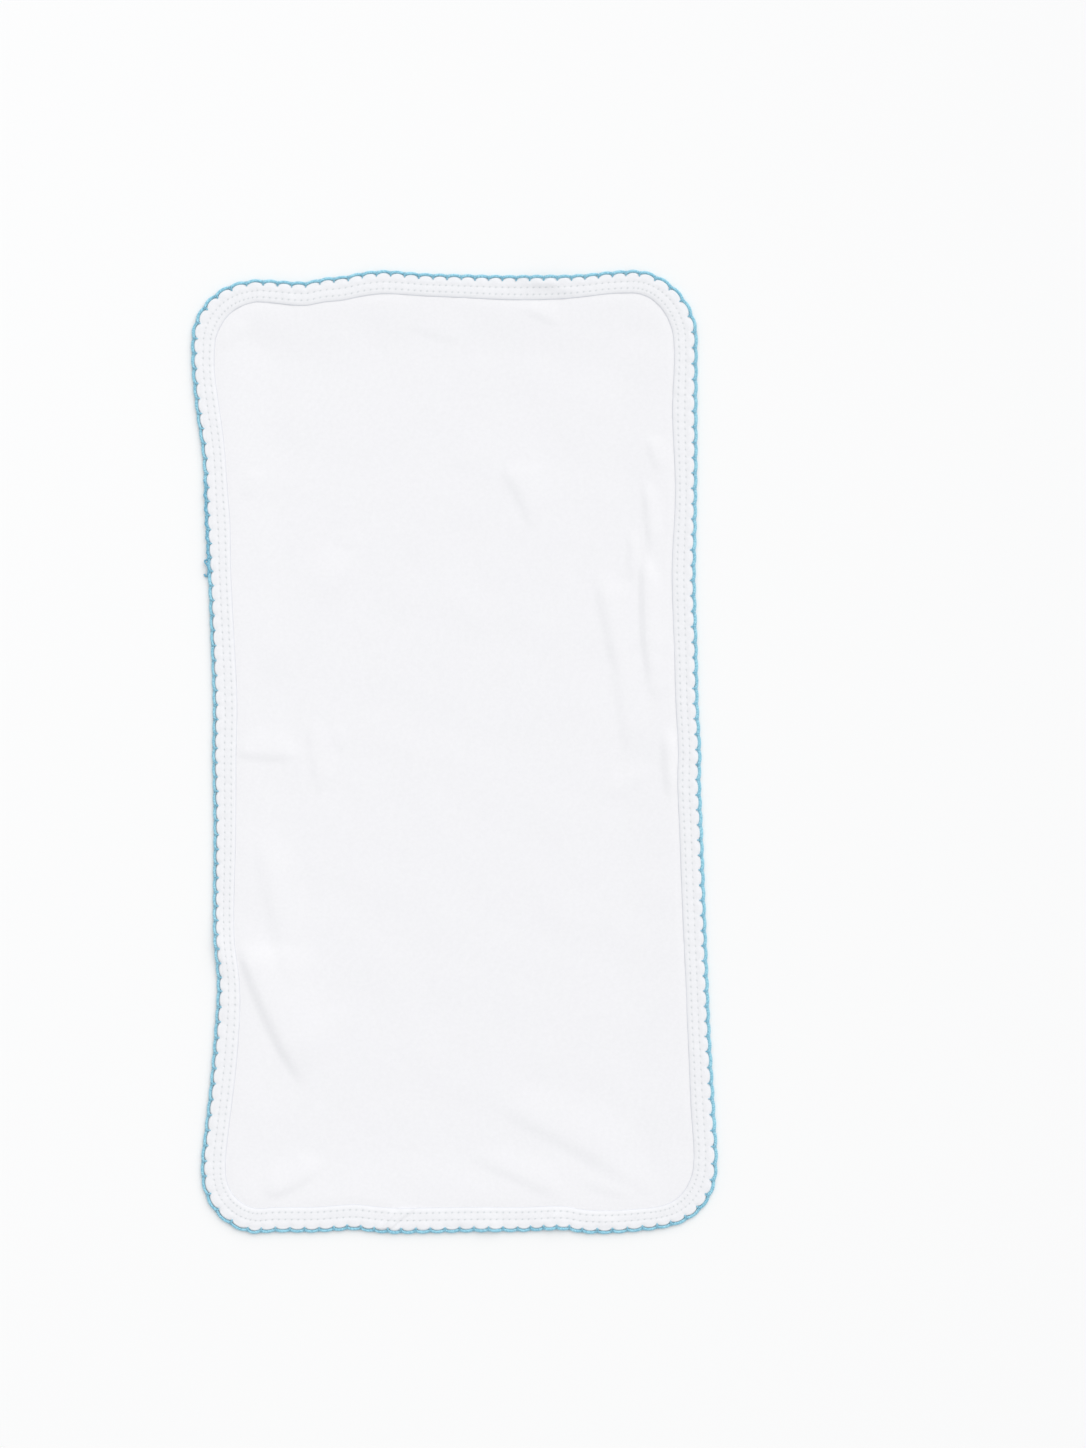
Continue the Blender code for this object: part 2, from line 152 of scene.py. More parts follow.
# How far in the binding reaches, clockwise along the edge of the cut
BindingReach = namedtuple("BindingReach", "along reach")
BINDING_REACH = (
    BindingReach(0, 11.7),
    BindingReach(36, 12.6),
    BindingReach(84, 11.7),
    BindingReach(136, 12.7),
    BindingReach(172, 11.5),
    BindingReach(222, 13.2),
    BindingReach(246, 11.8),
    BindingReach(276, 12.8),
    BindingReach(316, 11.3),
    BindingReach(350, 12.4),
    BindingReach(436, 12.0),
    BindingReach(470, 12.3),
    BindingReach(590, 11.8),
    BindingReach(620, 12.2),
    BindingReach(644, 11.8),
    BindingReach(668, 12.3),
    BindingReach(696, 11.4),
    BindingReach(750, 12.4),
    BindingReach(804, 13.0),
    BindingReach(836, 13.2),
    BindingReach(884, 12.9),
    BindingReach(956, 12.0),
    BindingReach(1012, 12.6),
    BindingReach(1056, 10.8),
    BindingReach(1108, 11.6),
    BindingReach(1172, 12.7),
    BindingReach(1236, 12.1),
    BindingReach(1264, 13.0),
    BindingReach(1292, 11.8),
    BindingReach(1316, 12.3),
    BindingReach(1344, 11.5),
    BindingReach(1370, 13.0),
    BindingReach(1406, 11.7),
)

# Where the outer edge curls up off the table
Curl = namedtuple("Curl", "name middle reach rise")
CURLS = (
    Curl("top", 144, 24, 1.5),
    Curl("left", 1053, 20, 1.0),
    Curl("bottom, middle", 781, 9, 0.8),
    Curl("bottom, right", 749, 10, 0.8),
)
CURL_FADE = 14.0


def ease(share):
    """Smooth step from 0 to 1."""
    share = np.clip(share, 0.0, 1.0)
    return share * share * (3 - 2 * share)


def curve_through(table, column):
    """A smooth curve through one column of a table, read by the place along it."""
    along = np.array([row.along for row in table], dtype=float)
    value = np.array([getattr(row, column) for row in table], dtype=float)
    ahead = np.append(np.arange(1, len(along)), len(along) - 1)
    behind = np.append(0, np.arange(len(along) - 1))
    slope = (value[ahead] - value[behind]) / (along[ahead] - along[behind])

    def read(place):
        place = np.clip(place, along[0], along[-1])
        low = np.clip(np.searchsorted(along, place, side="right") - 1, 0, len(along) - 2)
        span = along[low + 1] - along[low]
        t = (place - along[low]) / span
        return (
            value[low] * (2 * t**3 - 3 * t**2 + 1)
            + slope[low] * span * (t**3 - 2 * t**2 + t)
            + value[low + 1] * (3 * t**2 - 2 * t**3)
            + slope[low + 1] * span * (t**3 - t**2)
        )

    return read


left_wander = curve_through(SIDE_WANDER, "left")
right_wander = curve_through(SIDE_WANDER, "right")
bottom_wander = curve_through(END_WANDER, "bottom")
top_wander = curve_through(END_WANDER, "top")
reach_of = curve_through(BINDING_REACH, "reach")


def wander(x, y):
    """How far points of the flat cut have moved within the table's plane."""
    across = np.clip(x / CUT_WIDTH + 0.5, 0.0, 1.0)
    up = np.clip(y / CUT_LENGTH + 0.5, 0.0, 1.0)
    dx = left_wander(y) * (1 - across) + right_wander(y) * across
    dy = bottom_wander(x) * (1 - up) + top_wander(x) * up
    return dx, dy


def edge_point(along, inward):
    """Points of the flat cut, so far clockwise along its edge and so far in from it."""
    corners = ((-HALF_X, HALF_Y), (HALF_X, HALF_Y), (HALF_X, -HALF_Y), (-HALF_X, -HALF_Y))
    radius = CORNER_RADIUS - inward
    x = np.zeros(np.broadcast(along, inward).shape)
    y = x.copy()
    rest = np.mod(along, EDGE_LENGTH)
    for side in range(4):
        straight = 2 * (HALF_Y if side % 2 else HALF_X)
        facing = math.pi / 2 * (1 - side)
        corner_x, corner_y = corners[side]
        here = (rest >= 0) & (rest <= straight)
        x = np.where(here, corner_x + radius * math.cos(facing) + rest * math.sin(facing), x)
        y = np.where(here, corner_y + radius * math.sin(facing) - rest * math.cos(facing), y)
        rest = rest - straight
        corner_x, corner_y = corners[(side + 1) % 4]
        turned = facing - rest / CORNER_RADIUS
        here = (rest > 0) & (rest <= CORNER_ARC)
        x = np.where(here, corner_x + radius * np.cos(turned), x)
        y = np.where(here, corner_y + radius * np.sin(turned), y)
        rest = rest - CORNER_ARC
    return x, y


def edge_place(x, y):
    """How far along the edge, and how far in from it, points of the flat cut lie."""
    beyond_x = np.abs(x) - HALF_X
    beyond_y = np.abs(y) - HALF_Y
    outside = np.hypot(np.maximum(beyond_x, 0.0), np.maximum(beyond_y, 0.0))
    inward = CORNER_RADIUS - outside - np.minimum(np.maximum(beyond_x, beyond_y), 0.0)
    right = 2 * HALF_X + CORNER_ARC
    bottom = right + 2 * HALF_Y + CORNER_ARC
    left = bottom + 2 * HALF_X + CORNER_ARC
    turned_x = CORNER_RADIUS * np.arctan2(np.maximum(beyond_x, 0.0), np.maximum(beyond_y, 1e-9))
    turned_y = CORNER_RADIUS * np.arctan2(np.maximum(beyond_y, 0.0), np.maximum(beyond_x, 1e-9))
    at_corner = (beyond_x > 0) & (beyond_y > 0)
    at_end = beyond_y >= beyond_x
    along = np.select(
        [
            at_corner & (x > 0) & (y > 0),
            at_corner & (x > 0),
            at_corner & (y < 0),
            at_corner,
            at_end & (y > 0),
            at_end,
            x > 0,
        ],
        [
            2 * HALF_X + turned_x,
            right + 2 * HALF_Y + turned_y,
            bottom + 2 * HALF_X + turned_x,
            left + 2 * HALF_Y + turned_y,
            x + HALF_X,
            bottom + HALF_X - x,
            right + HALF_Y - y,
        ],
        left + y + HALF_Y,
    )
    return along, inward


def curl(along, inward):
    """How far the edge has curled up off the table."""
    lift = 0.0
    for one in CURLS:
        away = np.abs(np.mod(along - one.middle + EDGE_LENGTH / 2, EDGE_LENGTH) - EDGE_LENGTH / 2)
        lift = lift + one.rise * ease(1 - away / one.reach)
    return lift * np.maximum(1 - inward / CURL_FADE, 0.0) ** 2


def fold_height(fold, x, y):
    """Height of one fold over points of the table."""
    run = np.array((fold.x2 - fold.x1, fold.y2 - fold.y1), dtype=float)
    length = np.hypot(*run)
    run /= length
    lit = np.array((-run[1], run[0]))
    if lit @ np.array(LIGHT_SIDE) < 0:
        lit = -lit
    share = ((x - fold.x1) * run[0] + (y - fold.y1) * run[1]) / length
    bow = fold.bow * np.sin(math.pi * np.clip(share, 0, 1))
    off_crest = (x - fold.x1) * lit[0] + (y - fold.y1) * lit[1] - bow
    ends = ease(np.minimum(share * fold.onset, (1 - share) * 3))
    wide = ease(np.minimum(share, 1 - share) * 3)
    flank = np.where(off_crest > 0, fold.gentle * (0.3 + 0.7 * wide), fold.steep * (0.65 + 0.35 * wide))
    return fold.height * ends * ease(1 - np.abs(off_crest) / flank)


def unevenness(seed, x, y, shortest, longest, waves=28):
    """A soft, irregular rise and fall over points, about from -1 to 1."""
    random = np.random.default_rng(seed)
    total = 0.0
    for _ in range(waves):
        turn = random.uniform(0, 2 * math.pi)
        wavelength = random.uniform(shortest, longest)
        phase = random.uniform(0, 2 * math.pi)
        across = x * math.cos(turn) + y * math.sin(turn)
        total = total + np.sin(across * 2 * math.pi / wavelength + phase)
    return total / math.sqrt(2 * waves)


def add_grid(name, columns, rows):
    """A grid, as a sheet of so many columns by so many rows, and each vertex's place in it."""
    bpy.ops.mesh.primitive_grid_add(x_subdivisions=columns, y_subdivisions=rows, size=1)
    grid = bpy.context.object
    grid.name = name
    grid.data.name = name
    places = np.empty(len(grid.data.vertices) * 3)
    grid.data.vertices.foreach_get("co", places)
    places = places.reshape(-1, 3) + 0.5
    return grid, places[:, 0], places[:, 1]


def move_points(thing, x, y, z):
    """Puts every vertex of a mesh at its place, given in millimetres."""
    places = np.stack([x, y, z], axis=1) * MM
    thing.data.vertices.foreach_set("co", places.ravel())
    thing.data.update()


def lay_uv(thing, width, height):
    """Stretches a grid's own UV map to the real size of its cloth, in metres."""
    layer = thing.data.uv_layers[0].data
    values = np.empty(len(layer) * 2)
    layer.foreach_get("uv", values)
    values = values.reshape(-1, 2) * (width, height)
    layer.foreach_set("uv", values.ravel())


def math_node(tree, operation, first, second=None):
    """One step of arithmetic between sockets or numbers."""
    node = tree.nodes.new("ShaderNodeMath")
    node.operation = operation
    for socket, value in zip(node.inputs, (first, second)):
        if value is None:
            continue
        if isinstance(value, (int, float)):
            socket.default_value = value
        else:
            tree.links.new(value, socket)
    return node.outputs[0]


def knit_height(tree, wale, course):
    """Height of jersey's face: columns of small V-shaped stitches, from the UV map in metres."""
    uv = tree.nodes.new("ShaderNodeUVMap")
    split = tree.nodes.new("ShaderNodeSeparateXYZ")
    tree.links.new(uv.outputs[0], split.inputs[0])
    across = math_node(tree, "MULTIPLY", split.outputs[0], 1 / wale)
    within = math_node(tree, "FRACT", across)
    off_middle = math_node(tree, "ABSOLUTE", math_node(tree, "SUBTRACT", within, 0.5))
    column = math_node(tree, "SINE", math_node(tree, "MULTIPLY", within, math.pi))
    up = math_node(tree, "MULTIPLY", split.outputs[1], 1 / course)
    slanted = math_node(tree, "ADD", up, math_node(tree, "MULTIPLY", off_middle, 1.3))
    turns = math_node(tree, "SINE", math_node(tree, "MULTIPLY", slanted, 2 * math.pi))
    legs = math_node(tree, "ADD", math_node(tree, "MULTIPLY", turns, 0.22), 0.78)
    return math_node(tree, "MULTIPLY", column, legs)


def jersey(name, colour):
    """White cotton jersey: its knit, a soft nap, and a faint mottling."""
    material = bpy.data.materials.new(name)
    material.use_nodes = True
    tree = material.node_tree
    shader = tree.nodes["Principled BSDF"]
    shader.inputs["Roughness"].default_value = 0.92
    shader.inputs["Specular IOR Level"].default_value = 0.15
    shader.inputs["Sheen Weight"].default_value = 0.06
    shader.inputs["Sheen Roughness"].default_value = 0.5

    place = tree.nodes.new("ShaderNodeTexCoord")
    mottle = tree.nodes.new("ShaderNodeTexNoise")
    mottle.inputs["Scale"].default_value = 700
    mottle.inputs["Detail"].default_value = 6
    tree.links.new(place.outputs["Object"], mottle.inputs["Vector"])
    shades = tree.nodes.new("ShaderNodeValToRGB")
    shades.color_ramp.elements[0].position = 0.3
    shades.color_ramp.elements[0].color = (*(c * 0.985 for c in colour), 1)
    shades.color_ramp.elements[1].position = 0.7
    shades.color_ramp.elements[1].color = (*(c * 1.012 for c in colour), 1)
    tree.links.new(mottle.outputs["Fac"], shades.inputs["Fac"])
    tree.links.new(shades.outputs["Color"], shader.inputs["Base Color"])

    nap = tree.nodes.new("ShaderNodeTexNoise")
    nap.inputs["Scale"].default_value = 1500
    nap.inputs["Detail"].default_value = 3
    tree.links.new(place.outputs["Object"], nap.inputs["Vector"])
    knit = knit_height(tree, WALE * MM, COURSE * MM)
    fuzz = math_node(tree, "MULTIPLY", nap.outputs["Fac"], 0.8)
    relief = math_node(tree, "ADD", knit, fuzz)
    bump = tree.nodes.new("ShaderNodeBump")
    bump.inputs["Strength"].default_value = 0.5
    bump.inputs["Distance"].default_value = 0.00008
    tree.links.new(relief, bump.inputs["Height"])
    tree.links.new(bump.outputs["Normal"], shader.inputs["Normal"])
    return material


def set_material(thing, material):
    thing.data.materials.clear()
    thing.data.materials.append(material)


panel, cut_x, cut_y = add_grid(
    "jersey_panel", round(CUT_WIDTH / PANEL_GRID), round(CUT_LENGTH / PANEL_GRID)
)
cut_x = (cut_x - 0.5) * CUT_WIDTH
cut_y = (cut_y - 0.5) * CUT_LENGTH
panel_along, panel_inward = edge_place(cut_x, cut_y)
cut_away = panel_inward < PANEL_EDGE - PANEL_GRID / 2
panel_inward = np.maximum(panel_inward, PANEL_EDGE)
trimmed = panel_inward <= PANEL_EDGE
trimmed_x, trimmed_y = edge_point(panel_along, panel_inward)
cut_x = np.where(trimmed, trimmed_x, cut_x)
cut_y = np.where(trimmed, trimmed_y, cut_y)
shift_x, shift_y = wander(cut_x, cut_y)
lying_x, lying_y = cut_x + shift_x, cut_y + shift_y
down = ease((panel_inward - BINDING_INSIDE) / (PANEL_DOWN - BINDING_INSIDE))
panel_z = PANEL_RISE * (1 - down) + curl(panel_along, panel_inward)
free = ease((panel_inward - reach_of(panel_along) - 0.3) / FREE_CLOTH)
for fold in FOLDS:
    panel_z = panel_z + free * fold_height(fold, lying_x, lying_y)
panel_z = panel_z + free * 0.1 * (1 + unevenness(11, lying_x, lying_y, 22, 70))
move_points(panel, lying_x, lying_y, np.maximum(panel_z, 0.0))
lay_uv(panel, CUT_WIDTH * MM, CUT_LENGTH * MM)
cloth_mesh = bmesh.new()
cloth_mesh.from_mesh(panel.data)
cloth_mesh.verts.ensure_lookup_table()
outside = [cloth_mesh.verts[i] for i in np.nonzero(cut_away)[0]]
bmesh.ops.delete(cloth_mesh, geom=outside, context="VERTS")
cloth_mesh.to_mesh(panel.data)
cloth_mesh.free()
thickness = panel.modifiers.new("Thickness", "SOLIDIFY")
thickness.thickness = PANEL_THICKNESS * MM
thickness.offset = 1.0
bpy.ops.object.modifier_apply(modifier="Thickness")
bpy.ops.object.shade_smooth()
set_material(panel, jersey("White jersey", JERSEY_WHITE))
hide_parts("panel")
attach(panel, "root")

# The binding: one strip of the same jersey, folded round the panel's edge and sewn through with two
# needles at once. The blue thread draws its fold into scallops with plump crowns, and its end is
# lapped over its start near the middle of the bottom side.
ROWS_OF_STITCHES = (0.515, 0.79)
STATIONS_PER_STITCH = 5
LEAF = 0.5
SECTION_GIRTH = 36.0
FOLD_LINE = 1.6
FOLD_DIP = 0.9
FOLD_HEIGHT = 1.0
FOLD_ROUND = 0.82
POCKET_DEPTH = 5.8
CROWN_START = 0.455
CROWN_RISE = 0.1
CUSP_SINK = 0.3
HOLE_DEPTH = 0.32
BINDING_WHITE = (0.893, 0.897, 0.924)
# Painted shade: grey mixed into the colour in and round the needle holes
HOLE_PAINTED_SHADE = (0.66, 0.70, 0.72)
# Painted shade: grey mixed into the colour of the crevice along the binding's inner edge, where it meets
# the panel
CREVICE_PAINTED_SHADE = (0.755, 0.775, 0.825)
LEAF_TOP = 1.72

# Scallops: where each run starts, how many it has, and how deep they dip
ScallopRun = namedtuple("ScallopRun", "name start count dip")
SCALLOP_RUNS = (
    ScallopRun("top, left part", 3.0, 14, 1.3),
    ScallopRun("top, right part", 101.0, 13, 1.3),
    ScallopRun("top right corner", 189.5, 5, 2.0),
    ScallopRun("right, upper end", 234.0, 6, 0.7),
    ScallopRun("right, upper half", 281.5, 20, 0.7),
    ScallopRun("right, lower half", 435.0, 21, 0.7),
    ScallopRun("right, lower end", 593.5, 6, 0.7),
    ScallopRun("lower right corner", 641.0, 6, 1.2),
    ScallopRun("bottom, right end", 692.5, 6, 1.3),
    ScallopRun("bottom, drawn in", 736.0, 5, 1.3),
    ScallopRun("bottom, middle", 767.0, 8, 1.3),
    ScallopRun("bottom, left part", 823.0, 5, 1.3),
    ScallopRun("bottom, left end", 855.5, 6, 1.3),
    ScallopRun("lower left corner", 897.5, 4, 1.6),
    ScallopRun("left, lower end", 936.5, 12, 0.7),
    ScallopRun("left, drawn in", 1029.0, 9, 0.7),
    ScallopRun("left, lower middle", 1093.0, 12, 0.7),
    ScallopRun("left, upper middle", 1179.5, 7, 0.7),
    ScallopRun("left, thread sewn twice", 1232.0, 8, 0.7),
    ScallopRun("left, upper end", 1288.0, 9, 0.7),
    ScallopRun("top left corner", 1355.5, 6, 2.0),
)

# Length of a stitch, clockwise along the edge: the short sides are sewn a little finer
StitchLength = namedtuple("StitchLength", "along pitch")
STITCH_LENGTHS = (
    StitchLength(0, 3.13),
    StitchLength(186, 3.13),
    StitchLength(236, 3.4),
    StitchLength(652, 3.4),
    StitchLength(703, 3.13),
    StitchLength(888, 3.13),
    StitchLength(939, 3.4),
    StitchLength(1355, 3.4),
    StitchLength(1406, 3.13),
)


def read_scallops():
    """Each scallop's start along the edge, with the first one repeated, and its depth."""
    starts, dips = [], []
    for number, run in enumerate(SCALLOP_RUNS):
        following = SCALLOP_RUNS[(number + 1) % len(SCALLOP_RUNS)].start
        length = (following - run.start) % EDGE_LENGTH
        for step in range(run.count):
            starts.append(run.start + length * step / run.count)
            dips.append(run.dip)
    starts.append(starts[0] + EDGE_LENGTH)
    return np.array(starts), np.array(dips)


scallop_starts, scallop_dips = read_scallops()


def scallop_at(along):
    """How near the cusp a place is (0 at a crown's middle, 1 at its ends), and how deep it dips."""
    place = np.mod(along - scallop_starts[0], EDGE_LENGTH) + scallop_starts[0]
    which = np.searchsorted(scallop_starts, place, side="right") - 1
    which = np.clip(which, 0, len(scallop_dips) - 1)
    span = scallop_starts[which + 1] - scallop_starts[which]
    nearness = np.abs(2 * (place - scallop_starts[which]) / span - 1) ** 2.2
    softened = 0.5 * (scallop_dips[which] + scallop_dips[(which + 1) % len(scallop_dips)])
    return nearness, np.where(nearness > 0.5, softened, scallop_dips[which])


def stitch_places():
    """Places of the stitches along the edge, evenly closed round the cloth."""
    pitch = curve_through(STITCH_LENGTHS, "pitch")
    places = [0.0]
    while places[-1] < EDGE_LENGTH:
        places.append(places[-1] + float(pitch(places[-1])))
    return np.array(places) * EDGE_LENGTH / places[-1]


# The lap joint: where its step and its crease lie, how they slant, and how high and deep they are
LAP_STEP = 834.8
LAP_STEP_SLANT = 0.863
LAP_CREASE = 827.6
LAP_CREASE_SLANT = 1.05
LAP_START = 800.0
LAP_RISE = 0.5
LAP_RIDGE = 0.35
LAP_PINCH = 0.5


def lap_height(along, inward):
    """The step and the crease where the binding's end is lapped over its start."""
    step = LAP_STEP - LAP_STEP_SLANT * (inward - 2.5)
    crease = LAP_CREASE - LAP_CREASE_SLANT * (inward - 2.5)
    up = ease((step - along) / 0.8)
    ridge = LAP_RIDGE * np.exp(-(((along - step + 1.4) / 0.9) ** 2)) * ease((12 - inward) / 2)
    settled = 1 - 0.65 * ease((crease - along) / 1.0)
    gone = ease((along - LAP_START) / 12)
    pinch = LAP_PINCH * np.exp(-(((along - crease) / 0.7) ** 2)) * ease((11 - inward) / 3)
    return LAP_RISE * up * settled * gone + ridge - pinch


# Places where the binding's upper leaf puffs up: its length along the edge, its width and its height
Puff = namedtuple("Puff", "name along inward length width height")
PUFFS = (
    Puff("top, right of the middle", 142, 4.6, 7, 2.6, 0.55),
    Puff("top, beside it", 152, 7.5, 4, 2.0, 0.3),
    Puff("left, at the bend", 1022, 6.0, 6, 2.4, 0.3),
    Puff("left, above the bend", 1046, 5.0, 7, 2.4, 0.4),
    Puff("bottom, drawn in", 748, 7.0, 4, 2.6, 0.35),
    Puff("bottom, beside it", 757, 5.5, 3, 2.4, 0.3),
    Puff("bottom, right part", 724, 6.0, 5, 2.4, 0.3),
    Puff("bottom, left part", 792, 6.0, 4, 2.6, 0.3),
)


def puff_height(along, inward):
    """How far the binding's upper leaf puffs up."""
    total = 0.0
    for puff in PUFFS:
        reach = ((along - puff.along) / puff.length) ** 2 + ((inward - puff.inward) / puff.width) ** 2
        total = total + puff.height * np.exp(-reach)
    return total


def lay_down(along, inward, height):
    """Places by the edge of the cloth, as it lies."""
    flat_x, flat_y = edge_point(along, inward)
    shift_x, shift_y = wander(flat_x, flat_y)
    return flat_x + shift_x, flat_y + shift_y, height + curl(along, inward)


stitch_along = stitch_places()
STITCHES = len(stitch_along) - 1
stations = STITCHES * STATIONS_PER_STITCH
station_along = np.interp(
    np.arange(stations) / STATIONS_PER_STITCH, np.arange(STITCHES + 1), stitch_along
)
station_reach = reach_of(station_along)
nearness, dip = scallop_at(station_along)
station_fold = FOLD_LINE + (FOLD_DIP + 0.15 * dip) * nearness
arch = 1 - nearness

# Rows of the section, from the inner edge over the top to the fold, and back underneath. Each is
# given as its distance inward, its height and how much painted shade it takes in the crevice at the inner
# edge, for every station.
SectionPoint = namedtuple("SectionPoint", "share height")
UPPER_SECTION = (
    SectionPoint(1.0, 1.16),
    SectionPoint(0.994, 1.25),
    SectionPoint(0.98, 1.34),
    SectionPoint(0.955, 1.45),
    SectionPoint(0.92, 1.55),
    SectionPoint(0.89, 1.62),
    SectionPoint(0.85, 1.67),
    SectionPoint(0.82, 1.68),
    SectionPoint(0.79, 1.68),
    SectionPoint(0.76, 1.7),
    SectionPoint(0.725, 1.72),
    SectionPoint(0.67, 1.73),
    SectionPoint(0.61, 1.73),
    SectionPoint(0.565, 1.72),
    SectionPoint(0.54, 1.7),
    SectionPoint(0.515, 1.68),
    SectionPoint(0.49, 1.7),
    SectionPoint(0.455, LEAF_TOP),
)
LOWER_SECTION = (
    SectionPoint(0.455, 0.12),
    SectionPoint(0.515, 0.2),
    SectionPoint(0.65, 0.11),
    SectionPoint(0.79, 0.2),
    SectionPoint(0.9, 0.1),
    SectionPoint(0.985, 0.12),
    SectionPoint(1.0, 0.32),
)
CROWN_ROWS = 8
# How much painted shade each row at the binding's inner edge takes, by its share of the reach
CREVICE_SHADE_BY_ROW = {1.0: 1.0, 0.994: 1.0, 0.98: 0.6, 0.955: 0.1}
FOLD_ANGLES = (72, 45, 18, -12, -42, -72)
section_inward, section_height, section_painted_shade = [], [], []
for point in UPPER_SECTION:
    section_inward.append(point.share * station_reach)
    section_height.append(point.height + np.zeros(stations))
    section_painted_shade.append(np.full(stations, CREVICE_SHADE_BY_ROW.get(point.share, 0.0)))
crown_inner = CROWN_START * station_reach
crown_outer = station_fold + 0.5
for row in range(1, CROWN_ROWS):
    share = row / CROWN_ROWS
    plump = math.sin(math.pi * share**0.8)
    section_inward.append(crown_inner + (crown_outer - crown_inner) * share)
    sunk = CUSP_SINK * nearness * share**3
    section_height.append(LEAF_TOP + (0.02 + CROWN_RISE * arch) * plump - sunk)
    section_painted_shade.append(np.zeros(stations))
for angle in FOLD_ANGLES:
    turn = math.radians(angle)
    top_drop = CUSP_SINK * nearness * max(math.sin(turn), 0)
    section_inward.append(station_fold + FOLD_ROUND * (1 - math.cos(turn)))
    section_height.append(FOLD_HEIGHT + FOLD_ROUND * math.sin(turn) - top_drop)
    section_painted_shade.append(np.zeros(stations))
section_inward.append(station_fold + 1.3)
section_height.append(np.full(stations, 0.13))
section_painted_shade.append(np.zeros(stations))
for point in LOWER_SECTION:
    section_inward.append(point.share * station_reach)
    section_height.append(np.full(stations, point.height))
    section_painted_shade.append(np.zeros(stations))
for inward, height in (
    (0.985 * station_reach, LEAF + 0.04),
    (0.8 * station_reach, LEAF + 0.04),
    (np.full(stations, POCKET_DEPTH + 0.5), LEAF + 0.04),
    (np.full(stations, POCKET_DEPTH), 0.9),
    (np.full(stations, POCKET_DEPTH + 0.5), 1.22),
    (0.8 * station_reach, 1.2),
    (0.985 * station_reach, 1.17),
):
    section_inward.append(inward)
    section_height.append(np.full(stations, height))
    section_painted_shade.append(np.zeros(stations))
section_inward = np.array(section_inward)
section_height = np.array(section_height)
section_painted_shade = np.array(section_painted_shade)
section_rows = len(section_inward)

# Stitching pulls the upper leaf down in small pits, and puckers it between them
hole = np.zeros_like(section_height)
for share in ROWS_OF_STITCHES:
    row = next(i for i, point in enumerate(UPPER_SECTION) if point.share == share)
    hole[row, ::STATIONS_PER_STITCH] = 1.0
section_height -= HOLE_DEPTH * hole
# The hole mask is then spread a little beside each pit; from here on it only sets the painted shade greyed
# into the colour in and round the holes
for share in ROWS_OF_STITCHES:
    row = next(i for i, point in enumerate(UPPER_SECTION) if point.share == share)
    for beside in (-1, 1):
        hole[row, beside % STATIONS_PER_STITCH :: STATIONS_PER_STITCH] = 0.25
        hole[row + beside, ::STATIONS_PER_STITCH] = 0.4
upper_rows = len(UPPER_SECTION) + CROWN_ROWS - 1
row_along = np.broadcast_to(station_along, section_inward.shape)
pucker = unevenness(23, row_along, section_inward * 0.6, 3.0, 9.0)
drape = unevenness(31, row_along, section_inward, 9.0, 40.0)
section_height[:upper_rows] += 0.05 * pucker[:upper_rows] + 0.05 * drape[:upper_rows]
section_height[:upper_rows] += lap_height(row_along, section_inward)[:upper_rows]
section_height[:upper_rows] += puff_height(row_along, section_inward)[:upper_rows]

binding, ring_share, section_share = add_grid("jersey_binding", stations, section_rows)
ring_index = np.rint(ring_share * stations).astype(int) % stations
section_index = np.rint(section_share * section_rows).astype(int) % section_rows
binding_places = lay_down(row_along, section_inward, section_height)
move_points(binding, *(table[section_index, ring_index] for table in binding_places))
lay_uv(binding, EDGE_LENGTH * MM, SECTION_GIRTH * MM)
# Both attributes carry painted shade into the binding's colour: grey in the needle holes and in the crevice
# at the inner edge
for name, table in (("stitch_hole_painted_shade", hole), ("painted_crevice_shade", section_painted_shade)):
    values = binding.data.attributes.new(name, "FLOAT", "POINT")
    values.data.foreach_set("value", table[section_index, ring_index].astype(np.float32))
bpy.ops.object.mode_set(mode="EDIT")
bpy.ops.mesh.select_all(action="SELECT")
bpy.ops.mesh.remove_doubles(threshold=0.000002)
bpy.ops.mesh.normals_make_consistent(inside=False)
bpy.ops.object.mode_set(mode="OBJECT")
bpy.ops.object.shade_smooth()


def attribute_mix(tree, name, colour, under):
    """A colour laid over another where the piece's attribute says so."""
    attribute = tree.nodes.new("ShaderNodeAttribute")
    attribute.attribute_name = name
    mix = tree.nodes.new("ShaderNodeMix")
    mix.data_type = "RGBA"
    sockets = [socket for socket in mix.inputs if socket.type == "RGBA"]
    tree.links.new(attribute.outputs["Fac"], mix.inputs["Factor"])
    tree.links.new(under, sockets[0])
    sockets[1].default_value = (*colour, 1)
    return next(socket for socket in mix.outputs if socket.type == "RGBA")


binding_jersey = jersey("White binding", BINDING_WHITE)
tree = binding_jersey.node_tree
shader = tree.nodes["Principled BSDF"]
mottled = shader.inputs["Base Color"].links[0].from_socket
# Painted shade: the colour is greyed along the crevice at the inner edge
inner_edge_shaded = attribute_mix(tree, "painted_crevice_shade", CREVICE_PAINTED_SHADE, mottled)
# Painted shade: the colour is greyed in and round the needle holes
hole_shaded_colour = attribute_mix(tree, "stitch_hole_painted_shade", HOLE_PAINTED_SHADE, inner_edge_shaded)
tree.links.new(hole_shaded_colour, shader.inputs["Base Color"])
set_material(binding, binding_jersey)
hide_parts("binding")
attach(binding, "root")

# The stitching: two rows of white needle thread on the face, which dives into a hole at each stitch,
# and one looper thread that runs from row to row on the underside.
NEEDLE_THREAD = 0.1
LOOPER_THREAD = 0.16
THREAD_WHITE = (0.905, 0.91, 0.925)


